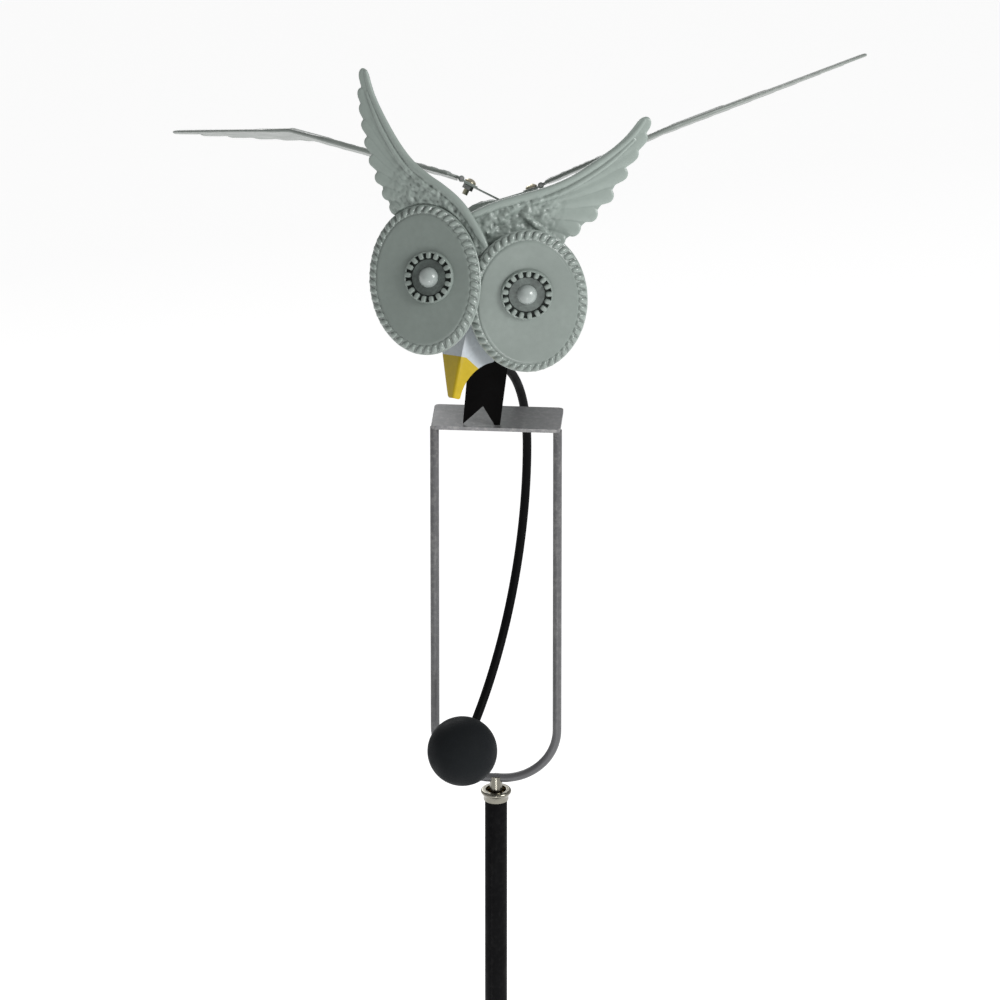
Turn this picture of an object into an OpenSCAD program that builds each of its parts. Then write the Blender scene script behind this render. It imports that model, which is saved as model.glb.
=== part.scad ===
// Rocking owl on a ground stake. A steel owl stands on two prongs on a small perch
// and is balanced by a ball on a bent rod, so that wind rocks it fore and aft. The
// perch yoke swivels in the top of the pole, and the two wings are hinged.
// Millimetres. +Z is up, the owl faces -Y, and the origin is on the pole's axis at
// the ground line.

/* [Stake] */
// Height of the perch plate's top above the ground
perch_z = 900; // [700:10:1200]
// Outer diameter of the pole tube
pole_d = 16; // [16:1:20]
// Wall of the pole tube
pole_wall = 1.2; // [1:0.1:2]
// Height of the joint between the two pole sections
pole_joint_z = 330; // [250:10:400]
// Length of the centre spike in the ground
spike_len = 180; // [120:10:220]
// Diameter of the centre spike
spike_d = 12; // [10:1:13]
// Distance from the centre spike to each side prong
prong_reach = 45; // [35:1:60]
// Length of the side prongs in the ground
prong_len = 140; // [100:10:180]

/* [Yoke] */
// Distance between the centrelines of the yoke's arms
yoke_w = 87.6; // [80:0.2:100]
// Drop from the plate's underside to the centreline of the yoke's bottom
yoke_drop = 276; // [270:1:300]
// Diameter of the yoke's rod
yoke_rod_d = 6.35; // [5:0.05:8]
// Bend radius of the yoke's rod, at its centreline
yoke_bend_r = 39.5; // [30:0.5:40]
// Perch plate: width
plate_w = 92; // [88:1:110]
// Perch plate: depth
plate_depth = 38; // [30:1:40]
// Perch plate: thickness
plate_t = 2.7; // [2:0.1:4]
// How far the plate reaches forward of the yoke's centreline
plate_front = 5; // [4:0.5:8]
// Diameter of the swivel pin
swivel_d = 9; // [8:0.5:10]

/* [Pendulum] */
// Diameter of the pendulum rod
rod_d = 6.35; // [5:0.05:8]
// Diameter of the counterweight ball
ball_d = 50; // [46:1:52]
// Radius of the rod's long lower bend
rod_lower_r = 203; // [190:1:210]
// Angle of the rod's long lower bend
rod_lower_a = 66.9; // [60:0.1:70]
// Radius of the rod's upper bend
rod_upper_r = 95; // [90:1:100]
// Angle of the rod's upper bend
rod_upper_a = 70; // [66:0.5:72]

/* [Owl] */
// Sideways lean of the whole owl
owl_roll = 4.5; // [0:0.5:6]
// Downward slope of the body from head to tail
body_pitch = 25; // [20:1:30]
// Largest radius of the body
body_r = 33; // [30:1:34]
// Sheet thickness of the body shells
shell_t = 0.8; // [0.6:0.1:1.2]
// Half width of an eye disc, over its rope rim
eye_a = 42.2; // [38:0.1:44]
// Half height of an eye disc, over its rope rim
eye_b = 53; // [48:0.5:56]
// Width of the rope rim
rope_w = 8.6; // [5:0.1:10]
// Height of the face of each eye over the back edge of its rim
rim_rise = 6; // [3:0.5:8]
// Length of an ear, from its root to its tip
ear_len = 120; // [100:1:125]

/* [Wings] */
// Length of a wing from its hinge pin to its farthest feather
wing_len = 244; // [220:1:260]
// Sheet thickness of the wings
wing_t = 0.6; // [0.5:0.1:1]
// Slope of the saddle's two arms
saddle_a = 21.5; // [15:0.5:25]
// Upward slope of the left wing where it stands on its stop
left_wing_a = 11; // [0:0.5:25]
// Upward slope of the right wing where it stands on its stop
right_wing_a = 28.5; // [0:0.5:30]

/* [Hidden] */
$fn = 64;
gap = 0.3;              // kept between pieces that move past each other
fit = 0.05;             // radial clearance of a shaft in its own bore
left = 0;               // index of the left side, as seen from the front
right = 1;

steel_grey = "slategray";
enamel = "lightgray";

// stake
pole_r = pole_d / 2;
bore_r = pole_r - pole_wall;
foot_bar_z = 25;
foot_bar_t = 5;
foot_bar_w = 22;
prong_d = 8;
prong_point = 22;
spike_point = 30;
spike_groove = 1.5;
coupler_len = 80;
coupler_screw_r = 2.5;
yoke_bottom_z = perch_z - plate_t - yoke_drop;
ferrule_top_z = yoke_bottom_z - 9;
ferrule_r = 11;
ferrule_mouth_r = 7.35;
ferrule_h = 8;
bush_drop = 3.5;        // from the ferrule's top to the bush's top
bush_len = 42;
thrust_ball_r = 3.5;

// owl: the feet stand on the line through the yoke's arms
feet_x = -11.35;
leg_t = 2;
leg_left = -12.2;
leg_right = 14.2;
leg_top_z = 101;
leg_flare = 2;
foot_gap = 0.5;         // under the prongs, so that they rock on the plate
notch_h = 15;
notch_x = 1;
body_y = 5;
body_z = 136;
body_yaw = 2;
body_front = -22;
body_back = 145;
tail_r = 12;
breast_t = 1;
tail_t = 1.29;
tail_len = 104;
tail_tab_w = 10;
tail_y = 118;
tail_z = -8;
arc_fn = 720;           // for the long arc of the body
// radius of the arc that runs from the widest ring to the tail ring
body_arc_r = (pow(body_back, 2) + pow(body_r - tail_r, 2)) / (2 * (body_r - tail_r));

// pendulum: the point where the rod hangs vertically behind the plate
rod_yaw = 18;
rod_at = [17.9, 62, -44.6];
rod_straight = 1;       // between the two bends
ball_at = rod_at + [
    -sin(rod_yaw) * rod_lower_r * (1 - cos(rod_lower_a)),
    -cos(rod_yaw) * rod_lower_r * (1 - cos(rod_lower_a)),
    -rod_lower_r * sin(rod_lower_a)];

// face: where each eye disc stands and how it is turned, from the perch
eye_at = [[-46.2, -45.4, 131.8], [25.5, -45.7, 118.4]];
eye_turn = [[-23.7, -12.8, -14.5], [-4.9, -0.7, 8.8]];
disc_t = 0.8;
ring_at = [[4.9, 1.15], [-0.9, 6.5]];    // middle of the toothed ring on its disc
rim_t = 1.6;
rim_lip = 0.2;       // short straight wall between two sloping bands of the rim
rim_steps = 4;
ring_r = 18.5;
ring_wall_h = 2.2;
ring_teeth = 17;
ring_tooth_in_r = 13.2;
ring_tooth_w = 2.9;
ring_tooth_h = 3.2;
eye_dome_r = 7.2;
eye_shank_r = 2.5;
eye_shank_len = 13.2;
post_r = 5;
face_plate_y = -29;     // along the body's axis, front of the plate behind the face
face_plate_t = 2;
strip_w = 12;
neck_z = -8;            // below the body's axis
neck_bolt_r = 3;
neck_r = 9;             // spacer and boss round the neck bolt
bracket_tip = [[-45, -25], [25, -32]];  // X and Z of the eyes' posts, from the body's axis
ear_t = 0.8;
ear_at = [[-40, -27.5, 170.5], [14.7, -27.2, 169.8]];
ear_turn = [[-23.8, -33.6, -4.7], [-27.5, 51, -12.8]];
ear_root = [-29, -20];
// leading edge across an ear: its place at the root, its shift, where and over what length,
// and how the tip turns back
ear_lead = [[-27.5, 27.5, 23, 12.5, 0.0045], [-28, 30, 14.5, 18, 0.0055]];
// trailing edge, along an ear and across it
ear_back = [
    [[119, 0.5], [108, 6], [87, 14], [62, 22], [36, 26], [12, 26], [-6, 26], [-18, 20], [-29, 12]],
    [[119, 0.5], [108, 7], [86, 18], [60, 28], [34, 32], [8, 31], [-8, 25], [-20, 14]]
];
beak_at = [-17.6, -49.7, 93.8];
beak_turn = [-28.5, 5.5, -10.2];
beak_len = 47;
beak_top = 10;        // reach of the beak up behind the eyes
beak_w = 28;
beak_left_a = 30;     // slope of its left edge from upright
beak_fold = 45;
beak_t = 1;
beak_tip = 5.8;
beak_arc_r = 33;

// wings
saddle_z = body_r + 0.3;
saddle_t = 1;
saddle_len = 28.4;
saddle_y = [-10, 20];
screw_x = 24.2;         // along a saddle arm, from the middle of the saddle
screw_y = 5;
hinge_x = 31;
hinge_z = 1.9;
knuckle_r = 2.2;
hinge_pin_r = 1.2;
leaf_t = 0.9;
hinge_y = [-8, 18];     // both ends of the hinge, along the body's axis
wing_knuckle_y = [-2.7, 12.7];
wrist_u = 100;
wrist_w = -8;
primaries = 9;
secondaries = 6;
wing_sweep = [22, 0];
wing_kink = [13, 2.5];
wing_kink_u = [136.5, 95];
kink_skew = [12, 0];    // turn of the bend's line towards the wing's tip at the back
wing_reach = 400;       // more than any wing's length, for cutting
kink_gap = 0.3;         // from the bend's line to the sheet on each side
kink_rib_r = 0.8;       // rounded rib that runs along the bend
kink_rib_y = [[-4, 78], [-16, 66]];
wing_a = [left_wing_a, right_wing_a];

// ---------------------------------------------------------------- placing

module at_perch() translate([0, 0, perch_z]) children();

module at_owl() at_perch() translate([feet_x, 0, 0]) rotate([0, owl_roll, 0]) children();

// Y runs along the body's axis, towards the tail
module at_body() at_owl() translate([0, body_y, body_z]) rotate([-body_pitch, 0, body_yaw])
    children();

// Z points out of the face, Y up it
module at_eye(side) at_perch() translate(eye_at[side]) rotate(eye_turn[side])
    rotate([90, 0, 0]) children();

module at_ring(side) at_eye(side)
    translate([ring_at[side].x, ring_at[side].y, rim_rise - disc_t]) children();

module at_ear(side) at_perch() translate(ear_at[side]) rotate(ear_turn[side])
    rotate([90, 0, 0]) mirror([side == right ? 1 : 0, 0, 0]) children();

module at_beak() at_perch() translate(beak_at) rotate(beak_turn) children();

// X runs outwards along one arm of the saddle, Z is square to it
module at_saddle_arm(side) at_body() mirror([side == left ? 1 : 0, 0, 0])
    translate([0, 0, saddle_z]) rotate([0, -saddle_a, 0]) children();

// X runs outwards along the wing, Y towards the tail, from the hinge pin
module at_wing(side) at_saddle_arm(side) translate([hinge_x, 0, hinge_z])
    rotate([0, saddle_a - wing_a[side], 0]) children();

// ---------------------------------------------------------------- shapes

module tube(r_out, r_in, h) difference() {
    cylinder(r = r_out, h = h);
    translate([0, 0, -1]) cylinder(r = r_in, h = h + 2);
}

// Round bar along Y, between two places
module bar_y(r, y) translate([0, y[0], 0]) rotate([-90, 0, 0]) cylinder(r = r, h = y[1] - y[0]);

// Flat feather with a round end, from the origin along X
module feather(len, w) {
    translate([0, -w / 2]) square([len - w / 2, w]);
    translate([len - w / 2, 0]) circle(d = w);
}

module oval(a, b) polygon([for (i = [0:71]) [a * cos(5 * i), b * sin(5 * i)]]);

// ---------------------------------------------------------------- stake

// Spike with a groove under the foot bar and a plug that fills the pole's end
module ground_spike() color("dimgray") {
    foot_top = foot_bar_z + foot_bar_t;
    straight = spike_len - spike_point;
    translate([0, 0, -straight]) cylinder(d = spike_d, h = straight + foot_bar_z - spike_groove);
    translate([0, 0, -straight]) cylinder(d = spike_d - 1, h = straight + foot_bar_z + 1);
    translate([0, 0, foot_bar_z]) cylinder(d = spike_d, h = foot_bar_t + 1);
    translate([0, 0, -spike_len]) cylinder(r1 = 1, r2 = spike_d / 2, h = spike_point);
    translate([0, 0, foot_top]) cylinder(r = bore_r, h = 30);
}

module side_prongs() color("dimgray") for (side = [-1, 1]) translate([side * prong_reach, 0, 0]) {
    translate([0, 0, prong_point - prong_len])
        cylinder(d = prong_d, h = prong_len - prong_point + foot_bar_z);
    translate([0, 0, -prong_len]) cylinder(r1 = 1, r2 = prong_d / 2, h = prong_point);
}

module foot_bar() color("dimgray") difference() {
    translate([0, 0, foot_bar_z]) linear_extrude(foot_bar_t) {
        square([2 * prong_reach, foot_bar_w], center = true);
        for (side = [-1, 1]) translate([side * prong_reach, 0]) circle(d = foot_bar_w);
    }
    translate([0, 0, foot_bar_z - 1]) cylinder(d = spike_d, h = foot_bar_t + 2);
}

module lower_pole() color("black") difference() {
    translate([0, 0, foot_bar_z + foot_bar_t])
        tube(pole_r, bore_r, pole_joint_z - foot_bar_z - foot_bar_t);
    at_coupler_screw(-1) rotate([90, 0, 0]) cylinder(r = coupler_screw_r, h = 20);
}

module pole_coupler() color("gray") difference() {
    translate([0, 0, pole_joint_z - coupler_len / 2]) tube(bore_r, bore_r - 1.5, coupler_len);
    for (side = [-1, 1]) at_coupler_screw(side) rotate([90, 0, 0])
        cylinder(r = coupler_screw_r, h = 20);
}

module at_coupler_screw(side) translate([0, 0, pole_joint_z + side * 20]) children();

module coupler_screws() color("gray") for (side = [-1, 1]) at_coupler_screw(side)
    rotate([90, 0, 0]) {
        translate([0, 0, bore_r - 2.5]) cylinder(r = coupler_screw_r, h = pole_wall + 4);
        translate([0, 0, pole_r]) cylinder(r = 4.5, h = 3);
    }

module upper_pole() color("black") difference() {
    translate([0, 0, pole_joint_z]) tube(pole_r, bore_r, ferrule_top_z - 3 - pole_joint_z);
    at_coupler_screw(1) rotate([90, 0, 0]) cylinder(r = coupler_screw_r, h = 20);
}

// Flared collar over the pole's end, with a rolled lip and an open mouth
module pole_ferrule() color("silver") translate([0, 0, ferrule_top_z]) rotate_extrude()
    difference() {
        union() {
            translate([ferrule_mouth_r, -3]) square([ferrule_r - ferrule_mouth_r - 1.5, 3]);
            translate([ferrule_r - 1.5, -1.5]) circle(r = 1.5);
            polygon([[pole_r, -ferrule_h], [pole_r + 1, -ferrule_h], [pole_r + 1, -5],
                [ferrule_r, -1.5], [ferrule_r - 1.5, -3], [pole_r, -3]]);
        }
        translate([0, -ferrule_h]) square([pole_r, ferrule_h - 3]);
    }

module swivel_bush() color("goldenrod") translate([0, 0, ferrule_top_z - bush_drop - bush_len])
    difference() {
        cylinder(r = bore_r, h = bush_len);
        translate([0, 0, 4]) cylinder(r = swivel_d / 2 + fit, h = bush_len);
    }

module thrust_ball() color("silver")
    translate([0, 0, ferrule_top_z - bush_drop - bush_len + 4 + thrust_ball_r])
        sphere(r = thrust_ball_r);

// ---------------------------------------------------------------- yoke

pin_bottom_z = ferrule_top_z - bush_drop - bush_len + 4 + 2 * thrust_ball_r + 0.1;

module swivel_pin() color("silver") difference() {
    translate([0, 0, pin_bottom_z])
        cylinder(d = swivel_d, h = yoke_bottom_z - pin_bottom_z + yoke_rod_d / 4);
    yoke_rod(yoke_rod_d / 2);
}

// The bent rod: two arms, two quarter bends and the short bottom run
module yoke_rod(r) {
    half = yoke_w / 2;
    bend_z = yoke_bottom_z + yoke_bend_r;
    for (side = [-1, 1]) {
        translate([side * half, 0, bend_z])
            cylinder(r = r, h = perch_z - plate_t - bend_z);
        translate([side * (half - yoke_bend_r), 0, bend_z]) rotate([90, 0, 0])
            rotate([0, 0, side > 0 ? 270 : 180]) rotate_extrude(angle = 90)
                translate([yoke_bend_r, 0]) circle(r = r);
    }
    translate([yoke_bend_r - half, 0, yoke_bottom_z]) rotate([0, 90, 0])
        cylinder(r = r, h = 2 * (half - yoke_bend_r));
}

module yoke() color(steel_grey) yoke_rod(yoke_rod_d / 2);

module perch_plate() color(steel_grey) {
    corner = 3.5;
    translate([-plate_w / 2, -plate_front, perch_z - plate_t]) linear_extrude(plate_t) {
        translate([corner, 0]) square([plate_w - 2 * corner, plate_depth]);
        translate([0, corner]) square([plate_w, plate_depth - 2 * corner]);
        for (x = [corner, plate_w - corner]) for (y = [corner, plate_depth - corner])
            translate([x, y]) circle(r = corner);
    }
}

// ---------------------------------------------------------------- owl: legs and body

// Height at which a prong's tip clears the level plate, at x in the leaning owl
function foot_z(x) = x * tan(owl_roll) + foot_gap;

module leg_bracket() color("black") {
    at_owl() translate([0, leg_t / 2, 0]) rotate([90, 0, 0]) linear_extrude(leg_t)
        polygon([[leg_left, foot_z(leg_left)], [notch_x, notch_h],
            [leg_right - 4, foot_z(leg_right - 4)], [leg_right, foot_z(leg_right)],
            [leg_right + leg_flare, leg_top_z / 2],
            [leg_right + leg_flare, leg_top_z], [leg_left, leg_top_z]]);
    difference() {
        at_body() translate([leg_left, 9, -body_r - 1.8])
            cube([leg_right + leg_flare - leg_left, 26, 1.5]);
        at_leg_rivets() cylinder(r = 1.6, h = 20, center = true);
    }
}

module at_leg_rivets() for (x = [-8, 10]) at_body() translate([x, 27, -body_r]) children();

module leg_rivets() color("black") at_leg_rivets() {
    translate([0, 0, -3.8]) cylinder(r = 3, h = 2);
    translate([0, 0, -2]) cylinder(r = 1.5, h = 6);
}

// Half of the tapered body, from 0 to 180 degrees about its axis
module half_shell() rotate([-90, 0, 0]) rotate_extrude(angle = 180)
    translate([body_r - body_arc_r, 0]) intersection() {
        difference() {
            circle(r = body_arc_r, $fn = arc_fn);
            circle(r = body_arc_r - shell_t, $fn = arc_fn);
        }
        translate([body_arc_r - body_r, body_front])
            square([body_r + 10, body_back - body_front]);
    }

module back_shell() color(enamel) at_body() rotate([0, 180, 0]) half_shell();

module belly_shell() color(enamel) difference() {
    at_body() half_shell();
    at_leg_rivets() cylinder(r = 1.5, h = 20, center = true);
    at_tail_screws() cylinder(r = 1.5, h = 30, center = true);
}

module breast_plate() color(enamel) at_body() difference() {
    bar_y(body_r - shell_t - 0.6, [body_front, body_front + breast_t]);
    neck_hole();
}

// Radius of the body's outside, at y along its axis
function body_radius(y) = body_r - body_arc_r + sqrt(pow(body_arc_r, 2) - pow(y, 2));

// Two places on the belly's outside, with Z square to the shell and into it
module at_tail_screws() for (y = [122, 136]) at_body() translate([0, y, -body_radius(y)])
    rotate([asin(y / body_arc_r), 0, 0]) children();

// Flat fan of feathers, screwed inside the tail end of the belly
module tail_fan() color(enamel) difference() {
    at_body() translate([0, tail_y, tail_z]) linear_extrude(tail_t) {
        translate([-tail_tab_w / 2, 0]) square([tail_tab_w, 40]);
        intersection() {
            for (i = [-4:4]) translate([0, 22]) rotate(90 + 8 * i)
                feather(tail_len - abs(i) * 5, 22);
            translate([-100, body_back - tail_y + 1]) square([200, 200]);
        }
    }
    at_tail_screws() cylinder(r = 1.5, h = 30, center = true);
}

module tail_screws() color("silver") at_tail_screws() {
    translate([0, 0, -0.5]) cylinder(r = 1.5, h = 13);
    translate([0, 0, -1.5]) cylinder(r = 3, h = 1.5);
}

// ---------------------------------------------------------------- owl: pendulum

// The bent rod, from the ball's middle up to the back of the leg bracket
module pendulum_rod() color("black") {
    at_perch() translate(rod_at) rotate([0, 0, -rod_yaw]) {
        // the bends lie in the plane of X = 0, and both curve forwards
        translate([0, -rod_lower_r, 0]) rotate([0, 0, 90]) rotate([90, 0, 0]) mirror([0, 1, 0])
            rotate_extrude(angle = rod_lower_a) translate([rod_lower_r, 0]) circle(d = rod_d);
        cylinder(d = rod_d, h = rod_straight);
        translate([0, -rod_upper_r, rod_straight]) rotate([0, 0, 90]) rotate([90, 0, 0])
            rotate_extrude(angle = rod_upper_a) translate([rod_upper_r, 0]) circle(d = rod_d);
    }
}

module counterweight_ball() color("black") difference() {
    at_perch() translate(ball_at) sphere(d = ball_d);
    pendulum_rod();
}

// ---------------------------------------------------------------- owl: face

module neck_hole() translate([0, 0, neck_z]) bar_y(neck_bolt_r, [face_plate_y - 10, 0]);

// Flat plate with an arm and a post for each eye, and a boss at the neck bolt
module face_bracket() color("gray") difference() {
    union() {
        at_body() translate([0, face_plate_y + face_plate_t, 0]) rotate([90, 0, 0])
            linear_extrude(face_plate_t) {
                translate([0, neck_z]) circle(r = neck_r);
                for (tip = bracket_tip) {
                    translate(tip) circle(d = strip_w);
                    translate([0, neck_z]) rotate(atan2(tip[1] - neck_z, tip[0]))
                        translate([0, -strip_w / 2]) square([norm(tip - [0, neck_z]), strip_w]);
                }
            }
        intersection() {
            for (side = [left, right]) at_ring(side) translate([0, 0, -40])
                cylinder(r = post_r, h = 40);
            at_body() translate([-80, face_plate_y - 40, -80])
                cube([160, 40 + face_plate_t / 2, 160]);
        }
    }
    at_body() neck_hole();
    for (side = [left, right]) at_ring(side) translate([0, 0, -eye_shank_len])
        cylinder(r = eye_shank_r, h = 40);
}

module neck_spacer() color("gray") at_body() difference() {
    translate([0, 0, neck_z]) bar_y(neck_r, [face_plate_y + face_plate_t, body_front]);
    neck_hole();
}

module neck_bolt() color("gray") at_body() translate([0, 0, neck_z]) {
    bar_y(neck_bolt_r, [face_plate_y - 1, body_front + breast_t + 7]);
    bar_y(5.5, [face_plate_y - 3.5, face_plate_y], $fn = 6);
    bar_y(5.5, [body_front + breast_t, body_front + breast_t + 4.5], $fn = 6);
}

module eye_disc(side) color(enamel) difference() {
    at_eye(side) translate([0, 0, rim_rise - disc_t]) linear_extrude(disc_t)
        oval(eye_a - rope_w, eye_b - rope_w);
    at_ring(side) translate([0, 0, -1]) cylinder(r = eye_shank_r + fit, h = disc_t + 2);
}

// An oval dome that curves in from the rim's back edge, in sloping bands
module rim_dome(shrink, steps) {
    function inset(k) = shrink + (rope_w - shrink) * (1 - cos(90 * k / steps));
    function up(k) = (rim_rise - shrink) * sin(90 * k / steps);
    for (k = [0:steps - 1]) hull() for (j = [k, k + 1])
        translate([0, 0, up(j)]) linear_extrude(rim_lip)
            offset(delta = -inset(j)) oval(eye_a, eye_b);
}

// A pressed ring that curves back from the disc, open behind
module rope_rim(side) color(enamel) at_eye(side) difference() {
    rim_dome(0, rim_steps);
    translate([0, 0, -0.01]) rim_dome(rim_t, rim_steps / 2);
    linear_extrude(rim_rise + 1) oval(eye_a - rope_w, eye_b - rope_w);
}

// A cup with a low wall and teeth that point inwards
module eye_ring(side) color(enamel) at_ring(side) translate([0, 0, disc_t]) {
    difference() {
        cylinder(r = ring_r, h = ring_wall_h);
        translate([0, 0, 1]) cylinder(r = ring_r - 1.2, h = ring_wall_h);
        translate([0, 0, -1]) cylinder(r = eye_shank_r + fit, h = 5);
    }
    for (i = [1:ring_teeth]) rotate(360 / ring_teeth * i)
        translate([ring_tooth_in_r, -ring_tooth_w / 2, 0.5])
            cube([ring_r - ring_tooth_in_r - 0.6, ring_tooth_w, ring_tooth_h - 0.5]);
}

module eye_rivets() color(enamel) for (side = [left, right]) at_ring(side) {
    translate([0, 0, -eye_shank_len]) cylinder(r = eye_shank_r, h = eye_shank_len + disc_t + 2);
    intersection() {
        translate([0, 0, disc_t]) sphere(r = eye_dome_r);
        translate([0, 0, disc_t + 1]) cylinder(r = 10, h = 10);
    }
}

// Where an ear's leading edge lies across it, at a distance along it from its root
function ear_front(side, at) = let (k = ear_lead[side])
    k[0] + k[1] / (1 + exp((k[2] - at) / k[3])) - k[4] * pow(max(0, at - 85), 2);

// A flat wing-shaped ear, with its length along Y
module ear(side) color(enamel) at_ear(side) linear_extrude(ear_t) polygon(concat(
    [for (at = [ear_root[side]:6:ear_len - 4]) [-ear_front(side, at), at]],
    [for (p = ear_back[side]) [-p[1], p[0]]]));

// One side of the beak, flat: a straight slanting edge on the left, a hollow curve on the right
module beak_side(side) difference() {
    translate([0, -beak_len]) square([beak_w, beak_len + beak_top]);
    translate([beak_tip, -beak_len])
        if (side < 0) rotate(-beak_left_a) square(beak_len);
        else translate([beak_arc_r, 0]) circle(r = beak_arc_r);
}

module beak() color("gold") at_beak() for (side = [-1, 1])
    rotate([0, 0, side * beak_fold]) mirror([side < 0 ? 1 : 0, 0, 0])
        translate([0, beak_t, 0]) rotate([90, 0, 0]) linear_extrude(beak_t) beak_side(side);

// ---------------------------------------------------------------- wings and hinges

module wing_saddle() color(enamel) for (side = [left, right]) at_saddle_arm(side)
    difference() {
        translate([0, saddle_y[0], 0]) cube([saddle_len, saddle_y[1] - saddle_y[0], saddle_t]);
        translate([screw_x, screw_y, -1]) cylinder(r = 2 + fit, h = 4);
    }

module hinge_leaf(side) color(steel_grey) at_saddle_arm(side) {
    inner_y = [wing_knuckle_y[0] - gap, wing_knuckle_y[1] + gap];
    difference() {
        translate([18, hinge_y[0], saddle_t])
            cube([hinge_x - 18, hinge_y[1] - hinge_y[0], leaf_t]);
        translate([hinge_x - knuckle_r - 2 * gap, inner_y[0], 0])
            cube([10, inner_y[1] - inner_y[0], 5]);
        translate([screw_x, screw_y, 0]) cylinder(r = 2 + fit, h = 5);
        translate([hinge_x, 0, hinge_z]) bar_y(hinge_pin_r, [-20, 30]);
    }
    for (y = [[hinge_y[0], inner_y[0]], [inner_y[1], hinge_y[1]]])
        translate([hinge_x, 0, hinge_z]) difference() {
            bar_y(knuckle_r, y);
            bar_y(hinge_pin_r, [-20, 30]);
        }
}

module hinge_pins() color("dimgray") for (side = [left, right]) at_saddle_arm(side)
    translate([hinge_x, 0, hinge_z]) bar_y(hinge_pin_r, [hinge_y[0] - 0.8, hinge_y[1] + 0.8]);

module at_hinge_screws() for (side = [left, right]) at_saddle_arm(side)
    translate([screw_x, screw_y, saddle_t + leaf_t]) children();

module hinge_washers() color("silver") at_hinge_screws() tube(4.2, 2 + fit, 0.8);

module hinge_screws() color("silver") at_hinge_screws() {
    translate([0, 0, -9]) cylinder(r = 2, h = 10);
    intersection() {
        translate([0, 0, 0.8]) cylinder(r = 4.2, h = 3);
        translate([0, 0, -2.4]) sphere(r = 5.6);
    }
}

module hinge_nuts() color("silver") at_hinge_screws() translate([0, 0, -saddle_t - leaf_t - 3.2])
    difference() {
        cylinder(r = 4, h = 3.2, $fn = 6);
        translate([0, 0, -1]) cylinder(r = 2, h = 6);
    }

// Outline of a spread wing, with its root at the origin and its span along X
module wing_outline() {
    translate([0, wrist_w - 14]) square([wrist_u, 28]);
    translate([wrist_u, wrist_w]) circle(r = 14);
    for (i = [0:primaries - 1]) {
        k = i / (primaries - 1);
        turn = 24 + 56 * k;
        len = (wing_len - wrist_u + 6) / cos(24) - 72 * k;
        translate([wrist_u, wrist_w]) rotate(turn) feather(len, 17 + 4 * k);
    }
    for (i = [0:secondaries - 1])
        translate([wrist_u - 8 - 16 * i, wrist_w]) rotate(82 + i) feather(86 - 2 * i, 21);
}

// One flat sheet with a shallow bend across it at the wrist
module wing(side) color(enamel) at_wing(side) {
    linear_extrude(wing_t, center = true) {
        intersection() {
            rotate(wing_sweep[side]) wing_panel(side, -kink_gap - wing_reach);
            translate([knuckle_r + 2 * gap, -wing_reach / 2]) square(wing_reach);
        }
        translate([knuckle_r - 0.5, wing_knuckle_y[0]])
            square([3, wing_knuckle_y[1] - wing_knuckle_y[0]]);
    }
    rotate(wing_sweep[side]) at_kink(side) rotate([0, wing_kink[side], 0]) {
        bar_y(kink_rib_r, kink_rib_y[side]);
        linear_extrude(wing_t, center = true) rotate(kink_skew[side])
            translate([-wing_kink_u[side], 0]) wing_panel(side, kink_gap);
    }
    difference() {
        bar_y(knuckle_r, wing_knuckle_y);
        bar_y(hinge_pin_r + fit, [-20, 30]);
    }
}

// Y runs along the bend's line
module at_kink(side) translate([wing_kink_u[side], 0, 0]) rotate(-kink_skew[side]) children();

// The part of the wing's outline that starts at a distance past the bend
module wing_panel(side, start) intersection() {
    wing_outline();
    at_kink(side) translate([start, -wing_reach / 2]) square(wing_reach);
}

// ---------------------------------------------------------------- nodes

ground_spike();
side_prongs();
foot_bar();
lower_pole();
pole_coupler();
coupler_screws();
upper_pole();
pole_ferrule();
swivel_bush();
thrust_ball();
swivel_pin();
yoke();
perch_plate();
leg_bracket();
leg_rivets();
back_shell();
belly_shell();
breast_plate();
tail_fan();
tail_screws();
face_bracket();
neck_spacer();
neck_bolt();
pendulum_rod();
counterweight_ball();
wing_saddle();
hinge_leaf(left);  // hinge_leaf_left
hinge_leaf(right);  // hinge_leaf_right
hinge_pins();
hinge_screws();
hinge_washers();
hinge_nuts();
eye_disc(left);  // eye_disc_left
eye_disc(right);  // eye_disc_right
rope_rim(left);  // rope_rim_left
rope_rim(right);  // rope_rim_right
eye_ring(left);  // eye_ring_left
eye_ring(right);  // eye_ring_right
eye_rivets();
ear(left);  // ear_left
ear(right);  // ear_right
beak();
wing(left);  // wing_left
wing(right);  // wing_right
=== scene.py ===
"""The looks of the rocking owl on its ground stake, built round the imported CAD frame.

Shapes are made in millimetres, each in the local axes of the CAD piece that it replaces.
add() puts them in place, with the same places as in the CAD source, and turns them into
metres.
"""
import math
import random
from math import cos, exp, pi, radians, sin, sqrt, tan

import bmesh
import bpy
from mathutils import Matrix, Vector, noise


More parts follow.
